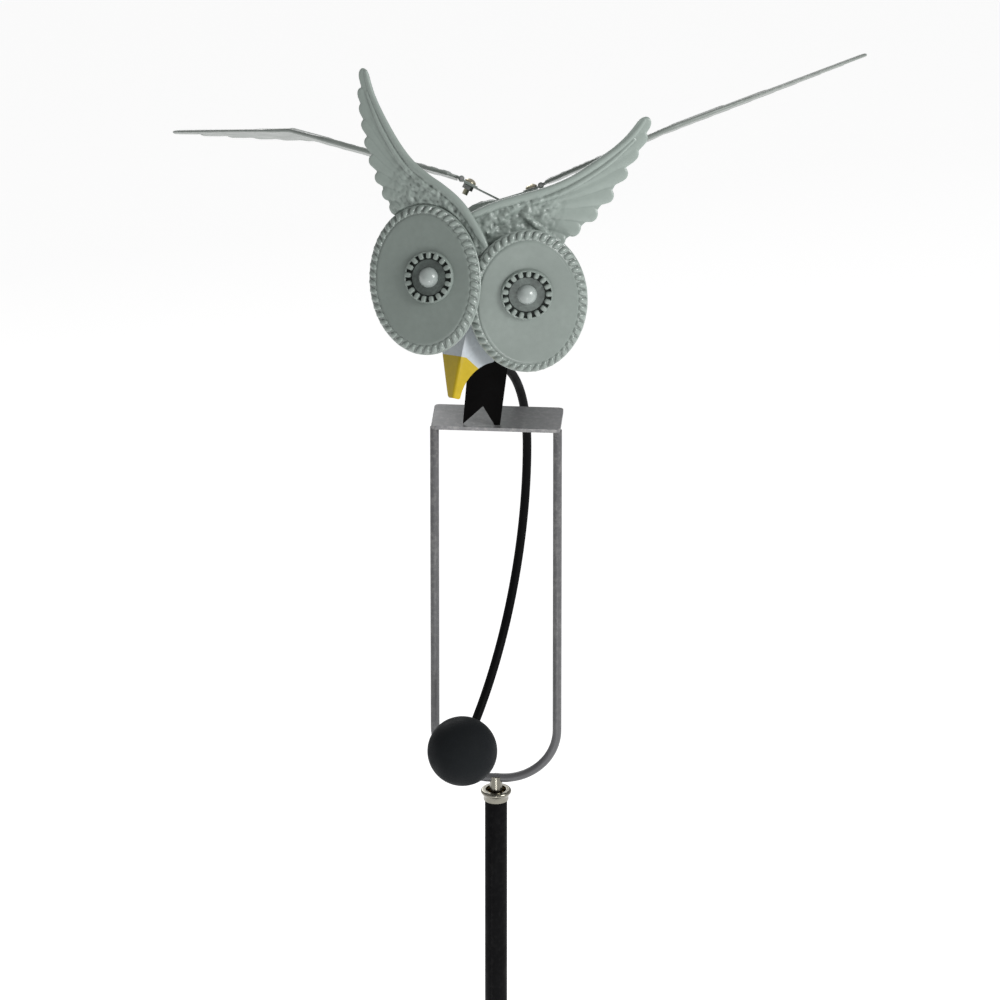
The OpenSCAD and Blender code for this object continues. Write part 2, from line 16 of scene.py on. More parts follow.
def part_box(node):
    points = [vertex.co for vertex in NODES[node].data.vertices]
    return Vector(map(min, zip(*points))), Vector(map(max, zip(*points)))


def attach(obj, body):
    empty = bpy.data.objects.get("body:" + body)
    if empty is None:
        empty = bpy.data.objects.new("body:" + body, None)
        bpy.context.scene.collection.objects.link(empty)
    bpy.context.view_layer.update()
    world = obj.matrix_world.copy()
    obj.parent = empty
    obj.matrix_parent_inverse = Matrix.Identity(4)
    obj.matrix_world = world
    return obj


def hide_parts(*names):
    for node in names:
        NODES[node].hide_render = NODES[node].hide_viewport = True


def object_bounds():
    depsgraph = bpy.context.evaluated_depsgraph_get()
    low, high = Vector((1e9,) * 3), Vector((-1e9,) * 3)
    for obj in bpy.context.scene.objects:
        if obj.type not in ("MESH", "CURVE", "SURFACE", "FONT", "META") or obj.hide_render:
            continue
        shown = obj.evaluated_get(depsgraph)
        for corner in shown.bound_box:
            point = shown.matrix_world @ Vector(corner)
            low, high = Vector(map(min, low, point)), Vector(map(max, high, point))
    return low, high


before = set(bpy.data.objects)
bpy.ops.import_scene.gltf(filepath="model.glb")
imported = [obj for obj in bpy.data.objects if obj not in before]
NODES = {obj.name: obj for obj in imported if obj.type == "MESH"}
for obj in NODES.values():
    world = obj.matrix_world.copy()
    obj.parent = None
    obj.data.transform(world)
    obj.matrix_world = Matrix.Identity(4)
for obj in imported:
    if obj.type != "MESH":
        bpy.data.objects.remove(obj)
cad_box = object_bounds()
MM = 0.001
LEFT, RIGHT = 0, 1      # as seen from the front, here and in every pair below
SIDES = ("left", "right")

# ------------------------------------------------------------------ sizes, as in the CAD source
# Millimetres and degrees. A place and a turn are given for each part that stands askew.

PERCH_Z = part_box("perch_plate")[1].z / MM
# where the owl's prongs stand across the perch, and its lean to the side
FEET_X = -11.35
OWL_ROLL = 4.5
# the tapered body, which runs along Y from its front to its back
BODY_AT = (0, 5, 136)
BODY_TURN = (-25, 0, 2)
BODY_R, TAIL_R = 33, 12
BODY_FRONT, BODY_BACK = -22, 145
SHELL_T = 0.8
# the oval eyes: half their width and height, the rope rim, and the plate inside it
EYE_AT = ((-46.2, -45.4, 131.8), (25.5, -45.7, 118.4))
EYE_TURN = ((-23.7, -12.8, -14.5), (-4.9, -0.7, 8.8))
EYE_A, EYE_B = 42.2, 53
RIM_W, RIM_RISE = 8.6, 6
DISC_T = 0.8
# the toothed ring in the middle of each eye, and the domed rivet in it
RING_AT = ((4.9, 1.15), (-0.9, 6.5))
RING_R, RING_WALL_H = 18.5, 2.2
RING_TEETH, TOOTH_IN_R, TOOTH_W, TOOTH_H = 17, 13.2, 2.9, 3.2
DOME_R, SHANK_LEN = 7.2, 13.2
EAR_AT = ((-40, -27.5, 170.5), (14.7, -27.2, 169.8))
EAR_TURN = ((-23.8, -33.6, -4.7), (-27.5, 51, -12.8))
# the beak, a sheet folded along its ridge
BEAK_AT = (-17.6, -49.7, 93.8)
BEAK_TURN = (-28.5, 5.5, -10.2)
BEAK_LEN, BEAK_TOP, BEAK_HALF, BEAK_FOLD = 47, 10, 28, 45
BEAK_TIP, BEAK_ARC_R, BEAK_LEFT = 5.8, 33, 30
BEAK_PAINT_Z = -17.2
# the sheet on the body's back that carries the hinges
SADDLE_Z, SADDLE_A = BODY_R + 0.3, 21.5
HINGE_X, HINGE_Z = 31, 1.9
# the wings: their upward slope and their sweep to the back
WING_A = (11, 28.5)
WING_SWEEP = (22, 0)
# the downward bend of a wing's outer part: its angle, its distance from the hinge, and the
# turn of its line towards the wing's tip at the back
WING_KINK = (13, 2.5)
WING_KINK_U = (136.5, 95)
KINK_SKEW = (12, 0)
WING_LEN = 244
# the point that the long primaries spread from, along the wing and across it
WRIST = (100, -8)
TAIL_Y, TAIL_Z, TAIL_LEN = 118, -8, 104


def shift(x, y, z):
    return Matrix.Translation((x, y, z))


def turn(x, y, z):
    """Turns about X, then Y, then Z, in degrees."""
    about = [Matrix.Rotation(radians(a), 4, axis) for a, axis in ((z, "Z"), (y, "Y"), (x, "X"))]
    return about[0] @ about[1] @ about[2]


def flip(on):
    return Matrix.Scale(-1, 4, (1, 0, 0)) if on else Matrix.Identity(4)


PERCH = shift(0, 0, PERCH_Z)
OWL = PERCH @ shift(FEET_X, 0, 0) @ turn(0, OWL_ROLL, 0)
BODY = OWL @ shift(*BODY_AT) @ turn(*BODY_TURN)
BEAK = PERCH @ shift(*BEAK_AT) @ turn(*BEAK_TURN)
EYE = [PERCH @ shift(*EYE_AT[s]) @ turn(*EYE_TURN[s]) @ turn(90, 0, 0) for s in (LEFT, RIGHT)]
RING = [EYE[s] @ shift(*RING_AT[s], RIM_RISE - DISC_T) for s in (LEFT, RIGHT)]
EAR = [PERCH @ shift(*EAR_AT[s]) @ turn(*EAR_TURN[s]) @ turn(90, 0, 0) @ flip(s == RIGHT)
       for s in (LEFT, RIGHT)]
ARM = [BODY @ flip(s == LEFT) @ shift(0, 0, SADDLE_Z) @ turn(0, -SADDLE_A, 0)
       for s in (LEFT, RIGHT)]
WING = [ARM[s] @ shift(HINGE_X, 0, HINGE_Z) @ turn(0, SADDLE_A - WING_A[s], 0)
        for s in (LEFT, RIGHT)]

# ------------------------------------------------------------------ materials


class Tree:
    """A material's node tree, with short calls for the nodes used here."""

    def __init__(self, name):
        self.mat = bpy.data.materials.new(name)
        self.mat.use_nodes = True
        self.nodes = self.mat.node_tree.nodes
        self.links = self.mat.node_tree.links
        self.shader = self.nodes["Principled BSDF"]
        self.coord = self.nodes.new("ShaderNodeTexCoord").outputs["Object"]

    def noise(self, scale, detail, rough=0.55):
        n = self.nodes.new("ShaderNodeTexNoise")
        n.inputs["Scale"].default_value = scale
        n.inputs["Detail"].default_value = detail
        n.inputs["Roughness"].default_value = rough
        self.links.new(self.coord, n.inputs["Vector"])
        return n.outputs["Fac"]

    def ramp(self, value, low, high, to_low=0.0, to_high=1.0):
        n = self.nodes.new("ShaderNodeMapRange")
        n.inputs["From Min"].default_value = low
        n.inputs["From Max"].default_value = high
        n.inputs["To Min"].default_value = to_low
        n.inputs["To Max"].default_value = to_high
        self.links.new(value, n.inputs["Value"])
        return n.outputs["Result"]

    def mix(self, fac, a, b):
        n = self.nodes.new("ShaderNodeMix")
        n.data_type = "RGBA"
        for socket, value in ((n.inputs[0], fac), (n.inputs[6], a), (n.inputs[7], b)):
            if isinstance(value, bpy.types.NodeSocket):
                self.links.new(value, socket)
            elif isinstance(value, (int, float)):
                socket.default_value = value
            else:
                socket.default_value = (*value, 1)
        return n.outputs[2]

    def pointiness(self):
        return self.nodes.new("ShaderNodeNewGeometry").outputs["Pointiness"]

    def bump(self, height, strength, distance, normal=None):
        n = self.nodes.new("ShaderNodeBump")
        n.inputs["Strength"].default_value = strength
        n.inputs["Distance"].default_value = distance
        self.links.new(height, n.inputs["Height"])
        if normal is not None:
            self.links.new(normal, n.inputs["Normal"])
        return n.outputs["Normal"]


def scaled(colour, k):
    return tuple(min(1, c * k) for c in colour)


def paint(name, colour, rough, spread=0.06, gloss=0.5, coat=0.0, metallic=0.0, grain=900,
          grain_depth=0.00006, edge_wear_and_sheen=0.0, edge_wear_and_sheen_colour=(0.45, 0.44, 0.42), hollow=0.0,
          mottle=30):
    """Painted or plated metal: mottled colour, uneven gloss, a fine skin, painted shade in
    hollows, and lighter patches on sharp edges that are partly worn paint, partly painted
    highlight."""
    t = Tree(name)
    broad = t.ramp(t.noise(mottle, 3), 0.3, 0.7)
    fine = t.ramp(t.noise(mottle * 7, 5), 0.35, 0.65)
    base = t.mix(broad, scaled(colour, 1 - spread), scaled(colour, 1 + spread))
    base = t.mix(t.ramp(fine, 0, 1, 0, 0.5), base, scaled(colour, 1 - 1.4 * spread))
    # painted shade: the colour darkens where the surface is hollow
    if hollow:
        depth = t.ramp(t.pointiness(), 0.497, 0.44, 0, hollow)
        base = t.mix(depth, base, scaled(colour, 0.22))
    # lighter patches on sharp edges: partly worn paint, partly painted highlight
    if edge_wear_and_sheen:
        edge = t.ramp(t.pointiness(), 0.515, 0.56, 0, 1)
        patch = t.ramp(t.noise(mottle * 9, 6, 0.7), 0.48, 0.6, 0, edge_wear_and_sheen)
        both = t.nodes.new("ShaderNodeMath")
        both.operation = "MULTIPLY"
        t.links.new(edge, both.inputs[0])
        t.links.new(patch, both.inputs[1])
        base = t.mix(both.outputs[0], base, edge_wear_and_sheen_colour)
    t.links.new(base, t.shader.inputs["Base Color"])
    uneven = t.ramp(t.noise(mottle * 2.5, 4), 0.3, 0.7, rough * 0.82, min(1, rough * 1.2))
    t.links.new(uneven, t.shader.inputs["Roughness"])
    wave = t.bump(t.noise(mottle * 4, 2), 0.25, 0.0004)
    skin = t.bump(t.noise(grain, 3, 0.6), 0.6, grain_depth, wave)
    t.links.new(skin, t.shader.inputs["Normal"])
    t.shader.inputs["Metallic"].default_value = metallic
    t.shader.inputs["Specular IOR Level"].default_value = gloss
    t.shader.inputs["Coat Weight"].default_value = coat
    t.shader.inputs["Coat Roughness"].default_value = 0.15
    return t.mat


SAGE = (0.235, 0.275, 0.252)
enamel = paint("owl_enamel", SAGE, 0.4, gloss=0.5, coat=0.12, hollow=0.75)
# a lighter copy of the enamel for the ears: partly a lighter dry-brushed tone, partly painted
# light
enamel_ear_dry_brushed_and_lit = paint("ear_enamel_dry_brushed_and_lit", scaled(SAGE, 1.22), 0.38, gloss=0.5, coat=0.15, hollow=0.9)
enamel_wing = paint("wing_enamel", scaled((0.235, 0.262, 0.242), 0.86), 0.42, gloss=0.4, coat=0.1,
                    hollow=0.9)
# a lighter copy of the enamel for the rope rims, as painted highlight on the lumps
enamel_rim_lit = paint("rim_enamel_lit", scaled(SAGE, 1.08), 0.32, gloss=0.55, coat=0.25, hollow=1.0)
enamel_flat = paint("disc_enamel", scaled(SAGE, 0.92), 0.38, gloss=0.4, coat=0.1, spread=0.07)
enamel_light = paint("rivet_enamel", (0.34, 0.38, 0.365), 0.28, coat=0.4, spread=0.1)
# painted shade: a darker copy of the enamel for the eye rings' floor, and a near-black one for
# the band under their teeth, as shadow in the gaps
eye_ring_floor_shade = paint("painted_recess_shade", (0.105, 0.128, 0.117), 0.42, spread=0.42, mottle=90)
slot_dark = paint("slot_shadow", (0.012, 0.016, 0.014), 0.6, gloss=0.2, spread=0.2, mottle=60)
black = paint("black_powder_coat", (0.0035, 0.0035, 0.004), 0.55, gloss=0.05, spread=0.15,
              grain=1500, grain_depth=0.00005, edge_wear_and_sheen=0.25, edge_wear_and_sheen_colour=(0.02, 0.02, 0.02))
soft_black = paint("bracket_black", (0.0022, 0.002, 0.002), 0.6, gloss=0.03, spread=0.15,
                   grain=1500, grain_depth=0.00004)
ball_black = paint("ball_black", (0.0115, 0.0132, 0.0145), 0.6, gloss=0.05, spread=0.12,
                   grain=700, grain_depth=0.00004)
# the plate and the yoke bear the same paint; this lighter copy on the plate paints in the
# stronger light that falls on it from above
plate_grey_lit = paint("plate_paint_lit", (0.17, 0.17, 0.176), 0.4, gloss=0.5, metallic=0.35, spread=0.08,
             grain=1300, grain_depth=0.00005, edge_wear_and_sheen=0.5)
yoke_grey = paint("yoke_grey", (0.115, 0.115, 0.12), 0.42, gloss=0.4, metallic=0.3, spread=0.08,
                  grain=1300, grain_depth=0.00005, edge_wear_and_sheen=0.5)
stake = paint("stake_coat", (0.03, 0.03, 0.032), 0.5, spread=0.2, grain=900, edge_wear_and_sheen=0.9,
              edge_wear_and_sheen_colour=(0.22, 0.19, 0.16))
nickel = paint("nickel_plate", (0.27, 0.26, 0.22), 0.26, metallic=1.0, spread=0.1, mottle=50,
               hollow=0.8, grain=1800, grain_depth=0.00002)
zinc = paint("zinc_steel", (0.46, 0.46, 0.46), 0.38, metallic=1.0, spread=0.12, mottle=60,
             grain=2200, grain_depth=0.00003)
yellow_zinc = paint("yellow_zinc", (0.56, 0.52, 0.40), 0.33, metallic=1.0, spread=0.15,
                    mottle=80, hollow=0.9)
brass = paint("turned_brass", (0.62, 0.46, 0.20), 0.3, metallic=1.0, spread=0.08)
hinge_grey = paint("hinge_enamel", (0.22, 0.25, 0.235), 0.36, coat=0.2, hollow=0.9, edge_wear_and_sheen=0.6)
beak_yellow = paint("beak_yellow", (0.49, 0.355, 0.014), 0.34, gloss=0.25, coat=0.08, spread=0.1,
                    mottle=45)
beak_grey = paint("beak_grey", (0.47, 0.51, 0.54), 0.26, coat=0.4, spread=0.08, mottle=45)

# ------------------------------------------------------------------ making pieces


def add(name, mesh, place, body, materials, nodes=(), sharp=35):
    """Puts a mesh made in millimetres at its place, on its body, in place of its CAD nodes.
    Edges sharper than the angle sharp stay crisp."""
    mesh.transform(Matrix.Scale(MM, 4) @ place)
    if place.determinant() < 0:
        mesh.flip_normals()
    for m in materials:
        mesh.materials.append(m)
    mesh.shade_smooth()
    mesh.set_sharp_from_angle(angle=radians(sharp))
    obj = bpy.data.objects.new(name, mesh)
    bpy.context.scene.collection.objects.link(obj)
    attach(obj, body)
    if nodes:
        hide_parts(*nodes)


def to_mesh(bm, name, merge=0.0005):
    """Turns a finished bmesh into a mesh, with points closer than merge joined."""
    if merge:
        bmesh.ops.remove_doubles(bm, verts=bm.verts, dist=merge)
    bmesh.ops.recalc_face_normals(bm, faces=bm.faces)
    mesh = bpy.data.meshes.new(name)
    bm.to_mesh(mesh)
    bm.free()
    return mesh


def grid(bm, rows, closed=False, material=0):
    """Faces from each row of points to the next, and from the last row to the first if closed.
    Every row is a closed loop."""
    verts = [[bm.verts.new(p) for p in row] for row in rows]
    count, around = len(rows), len(rows[0])
    for i in range(count if closed else count - 1):
        for j in range(around):
            a, b = verts[i], verts[(i + 1) % count]
            k = (j + 1) % around
            bm.faces.new((a[j], a[k], b[k], b[j])).material_index = material
    return verts


def cap(bm, ring):
    bm.faces.new(ring)


def flat_plate(bm, outline, bottom, top):
    """A solid plate with the given outline."""
    low = [bm.verts.new((x, y, bottom)) for x, y in outline]
    high = [bm.verts.new((x, y, top)) for x, y in outline]
    cap(bm, low)
    cap(bm, high[::-1])
    for i in range(len(outline)):
        k = (i + 1) % len(outline)
        bm.faces.new((low[i], high[i], high[k], low[k]))


def soft_block(bm, middle, size, ease):
    """A block whose edges are rounded by ease."""
    block = bmesh.ops.create_cube(bm, size=1, matrix=Matrix.Translation(middle)
                                  @ Matrix.Diagonal((*size, 1)))
    edges = list({e for v in block["verts"] for e in v.link_edges})
    bmesh.ops.bevel(bm, geom=edges, offset=ease, segments=2, affect="EDGES")


def cut_off(mesh, at, towards):
    """What is left of a closed mesh beyond a plane, closed again, as a bmesh."""
    bm = bmesh.new()
    bm.from_mesh(mesh)
    cut = bmesh.ops.bisect_plane(bm, geom=bm.verts[:] + bm.edges[:] + bm.faces[:],
                                 plane_co=at, plane_no=towards, clear_inner=True)
    edges = [e for e in cut["geom_cut"] if isinstance(e, bmesh.types.BMEdge)]
    bmesh.ops.holes_fill(bm, edges=edges)
    return bm


def fused(bm, name, voxel, rounds):
    """One closed skin over overlapping solids, a little softened, as stamped metal is."""
    mesh = to_mesh(bm, name)
    obj = bpy.data.objects.new(name, mesh)
    bpy.context.scene.collection.objects.link(obj)
    remesh = obj.modifiers.new("skin", "REMESH")
    remesh.mode = "VOXEL"
    remesh.voxel_size = voxel
    soften = obj.modifiers.new("soften", "SMOOTH")
    soften.factor = 0.5
    soften.iterations = rounds
    result = bpy.data.meshes.new_from_object(
        obj.evaluated_get(bpy.context.evaluated_depsgraph_get()))
    bpy.data.objects.remove(obj)
    bpy.data.meshes.remove(mesh)
    return result


def bezier(a, b, c):
    """The path of a curve from a to c that is drawn towards b."""
    def at(t):
        return Vector(a) * (1 - t) ** 2 + Vector(b) * 2 * t * (1 - t) + Vector(c) * t * t
    return at


def feather(bm, path, width, top, bottom, crown, under, lift, blunt, root=0.7, steps=18,
            ribs=8):
    """One solid feather along a flat path: a crowned vane with a raised quill.

    It is root of its width wide where it starts, and rounds off beyond blunt of its length.
    lift raises its tip, crown is its rise along the middle and under its depth below."""
    quill_h, quill_w = 0.35, 0.16
    upper, lower = [], []
    for i in range(steps + 1):
        t = i / steps
        t = 1 - (1 - t) ** 1.5 if t > 0.5 else t * (1 - 0.5 ** 1.5) / 0.5
        at = path(t)
        along = (path(min(1, t + 0.01)) - path(max(0, t - 0.01))).normalized()
        side = Vector((-along[1], along[0]))
        half = width / 2 * (root + (1 - root) * min(1, t / 0.4))
        if t > blunt:
            half *= sqrt(max(0.004, 1 - ((t - blunt) / (1 - blunt)) ** 2))
        rows = [[], []]
        for j in range(ribs + 1):
            v = 2 * j / ribs - 1
            p = at + side * half * v
            quill = quill_h * exp(-(v / quill_w) ** 2) * (1 - t)
            z = top + lift * t + (crown * (1 - v * v) + quill) * min(1, half / (width / 3))
            rows[0].append((p[0], p[1], z))
            rows[1].append((p[0], p[1], bottom - under * (1 - v * v)))
        upper.append(rows[0])
        lower.append(rows[1])
    around = [u + low[::-1] for u, low in zip(upper, lower)]
    rings = grid(bm, around)
    cap(bm, rings[0][::-1])
    cap(bm, rings[-1])


def roll(bm, points, radii, z, flatten=0.8):
    """A rounded bead along a smooth curve through points."""
    sides, per_span = 12, 8

    def point(k):
        return Vector(points[max(0, min(len(points) - 1, k))])

    line, size = [], []
    for k in range(len(points) - 1):
        p0, p1, p2, p3 = point(k - 1), point(k), point(k + 1), point(k + 2)
        for i in range(per_span):
            t = i / per_span
            line.append(0.5 * (2 * p1 + (p2 - p0) * t + (2 * p0 - 5 * p1 + 4 * p2 - p3) * t ** 2
                               + (3 * p1 - p0 - 3 * p2 + p3) * t ** 3))
            size.append(radii[k] + (radii[k + 1] - radii[k]) * t)
    line.append(point(len(points) - 1))
    size.append(radii[-1])
    rings = []
    for i, at in enumerate(line):
        along = (line[min(i + 1, len(line) - 1)] - line[max(i - 1, 0)]).normalized()
        side = Vector((-along[1], along[0]))
        ring = []
        for j in range(sides):
            a = 2 * pi * j / sides
            p = at + side * size[i] * cos(a)
            ring.append((p[0], p[1], z + flatten * size[i] * sin(a)))
        rings.append(ring)
    made = grid(bm, rings)
    cap(bm, made[0][::-1])
    cap(bm, made[-1])


def lathe(bm, profile, sides=64, material=0, axis="Z"):
    """A ring surface from (radius, height) points; a closed profile gives a closed solid."""
    rows = []
    for i in range(sides):
        a = 2 * pi * i / sides
        if axis == "Z":
            rows.append([(r * cos(a), r * sin(a), h) for r, h in profile])
        else:
            rows.append([(r * cos(a), h, r * sin(a)) for r, h in profile])
    grid(bm, rows, closed=True, material=material)


# ------------------------------------------------------------------ ears

# the leading edge across an ear: its place near the root, how far it moves towards the ear's
# middle line, where along the ear and over what length, and how its tip turns back
EAR_LEAD = ((-27.5, 27.5, 23, 12.5, 0.0045), (-28, 30, 14.5, 18, 0.0055))
# the tips of the flight feathers: how far along the ear, and across it
EAR_TIPS = (
    ((119.5, -0.8), (108, 7.0), (98, 11.4), (87, 15.8), (75, 19.8), (62, 23.2), (49, 25.6),
     (36, 26.8), (24, 27.2), (12, 27.0)),
    ((120, -1.2), (112, 5.8), (100, 11.8), (85.5, 19.4), (68, 26.6), (50.5, 31.2),
     (34, 32.8), (20, 33.0), (8, 32.0)),
)
# where an ear starts, measured along it
EAR_ROOT = (-37, -31)
# the edge of the lumpy shoulder: how far along the ear at its front, and its backward slope
EAR_SHOULDER = ((50, 0.75), (42, 0.8))


def lead(side, e):
    """Where the leading edge lies across an ear, at a distance e along it."""
    start, rise, middle, spread, droop = EAR_LEAD[side]
    return start + rise / (1 + exp(-(e - middle) / spread)) - droop * max(0, e - 85) ** 2


def ear_line(side, start, inset, end, across, bend=1.6):
    """A flowing line that starts beside the leading edge and swings out to a feather's tip."""
    spread = across - lead(side, end)

    def at(t):
        e = start + (end - start) * t
        q = lead(side, e) + inset + (spread - inset) * t ** bend
        return Vector((-q, e))
    return at


def ear_roll(bm, side, points, radii, z):
    """A bead on an ear, through points given along it and inwards from its leading edge."""
    roll(bm, [(-lead(side, e) - inset, e) for e, inset in points], radii, z)


def press_behind(mesh, place):
    """Flattens what lies over an eye's outline, so that it passes behind the eye."""
    clear, soft = 0.5, 2.0
    inset, reach_out = 1.5, 1.06
    for eye in EYE:
        local = eye.inverted() @ place
        back = local.inverted()
        for v in mesh.vertices:
            p = local @ v.co
            reach = sqrt((p.x / (EYE_A - inset)) ** 2 + (p.y / (EYE_B - inset)) ** 2)
            floor = -clear - soft
            if reach < reach_out and p.z > floor:
                hidden = floor + soft * (1 - exp(-(p.z - floor) / soft))
                share = min(1, (reach_out - reach) / 0.06)
                p.z += (hidden - p.z) * share * share * (3 - 2 * share)
                v.co = back @ p


def ear_mesh(side):
    """A stamped wing shape: a thick leading edge, long flight feathers and a lumpy shoulder."""
    bm = bmesh.new()
    tips = EAR_TIPS[side]
    last = len(tips) - 1
    for i, (e, q) in enumerate(tips):
        k = i / last
        width = 7.8 + 3.6 * k + 2.0 * side
        feather(bm, ear_line(side, 24 - 40 * k, 4.4 + 15 * k, e, q), width, 2.2 - 0.07 * i, 0.1,
                crown=0.65 + 0.6 * k, under=0.3, lift=0.0, root=0.75, blunt=0.93 - 0.02 * k,
                steps=30)
    # a shorter row that blends into the flight feathers
    for i in range(2, last + 1):
        k = i / last
        e, q = tips[i]
        start, reach = 14 - 34 * k, 0.46
        end = start + (e - start) * reach
        away = q - lead(side, e)
        inset = 5 + 13 * k
        across = lead(side, end) + inset + (away - inset) * reach ** 1.1
        feather(bm, ear_line(side, start, inset, end, across, 1.4), 7.5 + 2 * k, 2.3 - 0.05 * i,
                0.4, crown=1.1, under=0.0, lift=-0.5, blunt=0.7, steps=20)
    root = EAR_ROOT[side]
    span = [(e, 2.2) for e in (root + 2, root + 12, -6, 6, 18, 30, 44, 60, 80, 98, 110, 117)]
    ear_roll(bm, side, span, (1.5, 2.8, 3.1, 3.2, 3.1, 2.9, 2.7, 2.5, 2.3, 2.1, 1.9, 1.4), 2.1)
    ear_roll(bm, side, ((18, 8.4), (38, 7.6), (57, 6.8), (80, 6.2), (103, 5.2)),
             (1.4, 1.7, 1.5, 1.2, 0.6), 3.0)
    if side == RIGHT:
        # the lip that the lower feathers grow from, over the top of the eye
        ear_roll(bm, side, ((8, 13), (10, 20.5), (12, 28.5), (13.5, 35.5), (16, 43)),
                 (1.5, 2.3, 2.5, 2.5, 1.8), 3.0)
    # the sheet behind
    count = 24
    front_edge = [(e, lead(side, e) + 0.6) for e in
                  (root + (tips[0][0] - 6 - root) * i / count for i in range(count + 1))]
    back_edge = [(e - 2, q - 1.4) for e, q in tips[1:]]
    sheet = front_edge + back_edge + [(-4, 27), (-16, 23), (root, 14)]
    flat_plate(bm, [(-q, e) for e, q in sheet], 0.0, 2.0)
    mesh = fused(bm, f"ear_{SIDES[side]}", 0.5, 4)
    # the lumpy shoulder: uneven knots that fade out along the ear
    reach, slope = EAR_SHOULDER[side]
    for v in mesh.vertices:
        x, e, z = v.co
        inset = -x - lead(side, e)
        if z > 1.2 and inset > 3.5:
            fade = 1 / (1 + exp((e - reach + slope * inset) / 4))
            where = Vector((x * 0.16, e * 0.13, 9 * side))
            knots = 1.6 * noise.noise(where) + 0.9 * noise.noise(where * 2.3)
            v.co.z += fade * (0.5 + 1.2 * knots) * min(1, (inset - 3.5) / 3)
    press_behind(mesh, EAR[side])
    return mesh


for s in (LEFT, RIGHT):
    add(f"feathered_ear_{SIDES[s]}", ear_mesh(s), EAR[s], "owl", [enamel_ear_dry_brushed_and_lit],
        [f"ear_{SIDES[s]}"])

# ------------------------------------------------------------------ wings

KNUCKLE_R, PIN_R, FIT = 2.2, 1.2, 0.05
KNUCKLE_GAP = 0.6      # from the knuckles to the wing's feathers
WING_KNUCKLE_Y = (-2.7, 12.7)


def wing_mesh(side):
    """A spread wing of long primaries, secondaries and their coverts, cut off square beside
    the hinge."""
    bm = bmesh.new()
    primaries, secondaries = 9, 6
    first_angle, fan = 24, 56
    secondary_len, secondary_pitch = 86, 16

    def straight(origin, angle, length):
        """An almost straight path, at an angle from the wing's length."""
        curl = 0.06
        a = radians(angle)
        out = Vector((cos(a), sin(a)))
        across = Vector((-sin(a), cos(a)))
        o = Vector(origin)
        return bezier(o, o + out * length * 0.55 - across * curl * length * 0.5, o + out * length)

    for i in range(primaries):
        k = i / (primaries - 1)
        angle = first_angle + fan * k
        length = (WING_LEN - WRIST[0] + 6) / cos(radians(first_angle)) - 72 * k
        width = 17 + 4 * k
        rise = 0.09 * (primaries - 1 - i)
        feather(bm, straight(WRIST, angle, length), width, 0.2 + rise, -0.5, crown=0.9,
                under=0.3, lift=0.1, root=0.55, blunt=0.88, steps=26)
        feather(bm, straight(WRIST, angle + 1, length * 0.5), width * 0.8, 0.7 + rise, -0.3,
                crown=0.8, under=0.0, lift=0.4, root=0.6, blunt=0.8)
        feather(bm, straight(WRIST, angle + 2, length * 0.28), width * 0.7, 1.2 + rise, -0.3,
                crown=0.8, under=0.0, lift=0.4, root=0.6, blunt=0.75)
    for i in range(secondaries):
        origin = (WRIST[0] - 8 - secondary_pitch * i, WRIST[1])
        rise = 0.05 * (secondaries - 1 - i)
        feather(bm, straight(origin, 82 + i, secondary_len - 2 * i), 21, 0.1 + rise, -0.5,
                crown=0.8, under=0.5, lift=0.1, root=0.8, blunt=0.86, steps=22)
        for shift_x, share, up in ((-8, 0.62, 0.5), (0, 0.42, 0.9), (-8, 0.24, 1.3)):
            if origin[0] + shift_x > 4:
                feather(bm, straight((origin[0] + shift_x, WRIST[1]), 83 + i,
                                     secondary_len * share),
                        18, up + rise, -0.3, crown=0.8, under=0.0, lift=0.4, root=0.8, blunt=0.74)
    # the arm that the feathers grow from, and its rolled front edge
    flat_plate(bm, ((3, -21), (100, -21), (112, -16), (112, 2), (100, 6), (3, 6)), -0.7, 1.1)
    roll(bm, ((4, -19.5), (40, -20), (80, -20), (102, -19), (120, -9), (160, 10), (205, 30)),
         (1.9, 2.2, 2.5, 2.6, 2.3, 1.8, 0.9), 0.5, flatten=0.75)
    # two rows of small feathers on the arm
    rng = random.Random(5 + side)
    for row in range(2):
        for i in range(11):
            x = 8 + 9.2 * i + 4.6 * row
            path = bezier((x, -17 + 6 * row), (x + 1, -12 + 6 * row),
                          (x + rng.uniform(-0.5, 0.5), -5.5 + 6 * row))
            feather(bm, path, 9.6, 1.5 - 0.15 * row, 0.0, crown=0.8, under=0.0, lift=0.4,
                    blunt=0.5, steps=10, ribs=6)
    mesh = fused(bm, f"wing_{SIDES[side]}", 0.75, 2)
    bend_wing(mesh, side)
    bm = cut_off(mesh, (KNUCKLE_R + KNUCKLE_GAP, 0, 0), (1, 0, 0))
    bm.to_mesh(mesh)
    bm.free()
    return mesh


def bend_wing(mesh, side):
    """Bends a wing's outer part down along its slanting line, and sweeps the wing back."""
    kink, elbow, skew = radians(WING_KINK[side]), WING_KINK_U[side], radians(KINK_SKEW[side])
    sweep = turn(0, 0, WING_SWEEP[side])
    for v in mesh.vertices:
        x, y, z = v.co
        far = (x - elbow) * cos(skew) - y * sin(skew)
        along = (x - elbow) * sin(skew) + y * cos(skew)
        if far > 0:
            far, z = far * cos(kink) + z * sin(kink), z * cos(kink) - far * sin(kink)
            x = elbow + far * cos(skew) + along * sin(skew)
            y = along * cos(skew) - far * sin(skew)
        v.co = sweep @ Vector((x, y, z))


